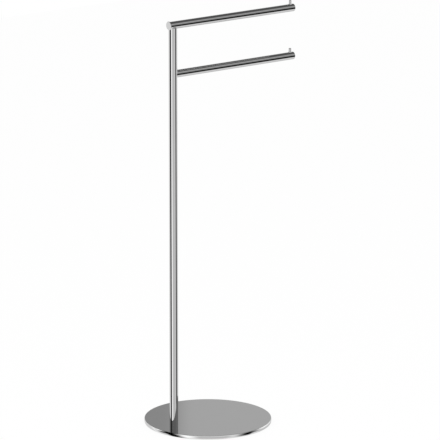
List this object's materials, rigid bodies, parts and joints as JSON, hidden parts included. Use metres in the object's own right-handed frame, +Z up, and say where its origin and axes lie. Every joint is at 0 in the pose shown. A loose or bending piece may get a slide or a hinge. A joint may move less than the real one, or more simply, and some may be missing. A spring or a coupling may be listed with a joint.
{
  "type": "freestanding towel stand",
  "caption": "Freestanding towel stand: round polished base plate, slim upright tube near its edge and fixed horizontal towel arms, one on top and one below, with small end stops.",
  "frame": {"origin": "middle of the face that rests on the floor, under the centre of the round base plate", "axes": "+Z is up. +X is the way the arms point from the post, over the middle of the base plate. +Y is level, across the arms."},
  "size_m": [0.3735, 0.28, 0.9181],
  "materials": {
    "base_chrome": "mirror-polished chrome plate on steel",
    "polished_chrome": "mirror-polished chrome plate",
    "zinc_steel": "zinc-plated steel fixings",
    "black_screw_steel": "black-oxide socket screws",
    "turned_brass": "plain turned brass",
    "black_rubber": "matt rubber sheet"
  },
  "bodies": {
    "root": {"anti_slip_mat": "black_rubber", "base_bolt": "zinc_steel", "base_plate": "base_chrome", "foot_dowel": "zinc_steel", "lower_arm_anchor": "turned_brass", "lower_arm_end_plug": "polished_chrome", "lower_arm_spigot": "zinc_steel", "lower_arm_tube": "polished_chrome", "lower_grub_screw": "black_screw_steel", "lower_towel_stop": "polished_chrome", "post_cross_insert": "turned_brass", "post_foot_insert": "turned_brass", "post_top_insert": "turned_brass", "post_tube": "polished_chrome", "upper_arm_end_cap": "polished_chrome", "upper_arm_end_plug": "polished_chrome", "upper_arm_spigot": "zinc_steel", "upper_arm_tube": "polished_chrome", "upper_grub_screw": "black_screw_steel", "upper_towel_stop": "polished_chrome"}
  },
  "joints": []
}
